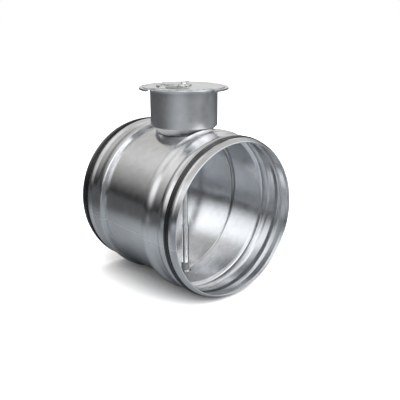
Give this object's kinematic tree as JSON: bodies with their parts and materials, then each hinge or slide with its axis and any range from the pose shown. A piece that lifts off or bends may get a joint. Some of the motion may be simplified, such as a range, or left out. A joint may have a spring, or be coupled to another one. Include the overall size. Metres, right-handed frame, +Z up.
{
  "type": "manual volume control damper",
  "caption": "Round duct damper: galvanised casing with sealed spigots, disc blade on a vertical shaft, and a flanged insulation-depth neck with a locking scale handle.",
  "frame": {"origin": "middle of the duct's length, under the lowest points of the two stop beads, at the height of the floor the damper was pictured on", "axes": "+X along the duct towards the front spigot (the mouth the picture looks into), +Z up along the blade's shaft towards the handle, +Y across"},
  "size_m": [0.196, 0.204, 0.2567],
  "materials": {
    "galvanised_casing": "hot-dip galvanised sheet, fine spangle",
    "galvanised_blade": "hot-dip galvanised sheet, fine spangle",
    "galvanised_cup": "galvanised sheet, drawn",
    "scale_sheet": "galvanised sheet with a stamped scale",
    "handle_steel": "zinc-plated steel",
    "seal_rubber": "smooth black EPDM",
    "gasket_rubber": "cellular black EPDM",
    "shaft_steel": "bright zinc-plated bar",
    "fastener_zinc": "bright zinc",
    "rivet_steel": "plain steel rivet",
    "clip_steel": "phosphated spring steel",
    "bush_plastic": "dark grey moulded nylon"
  },
  "bodies": {
    "damper_body": {"casing": "galvanised_casing", "front_seal": "seal_rubber", "rear_seal": "seal_rubber", "upper_bush": "bush_plastic", "lower_bush": "bush_plastic", "upper_bush_clip": "clip_steel", "lower_bush_clip": "clip_steel", "shaft_seal_ring": "seal_rubber", "cup": "galvanised_cup", "cup_gasket": "gasket_rubber", "cup_rivets": "rivet_steel", "scale_plate": "scale_sheet", "plate_rivets": "rivet_steel", "shaft_guide": "bush_plastic", "lock_nut": "fastener_zinc"},
    "blade_assembly": {"blade": "galvanised_blade", "shaft": "shaft_steel", "blade_rivets": "rivet_steel", "shaft_clip": "clip_steel", "handle": "handle_steel", "handle_washer": "fastener_zinc", "handle_screw": "fastener_zinc"},
    "lock_screw_set": {"lock_screw": "fastener_zinc", "lock_washer": "fastener_zinc"}
  },
  "joints": [
    {"name": "blade_turn", "type": "hinge", "parent": "damper_body", "child": "blade_assembly", "pos_m": [0, 0, 0.102], "axis": [0, 0, 1], "range_deg": [-4.8, 85.2]},
    {"name": "lock_screw_turn", "type": "hinge", "parent": "damper_body", "child": "lock_screw_set", "pos_m": [0.01838, -0.01838, 0.252], "axis": [0, 0, 1], "range_deg": [0, 360]}
  ]
}
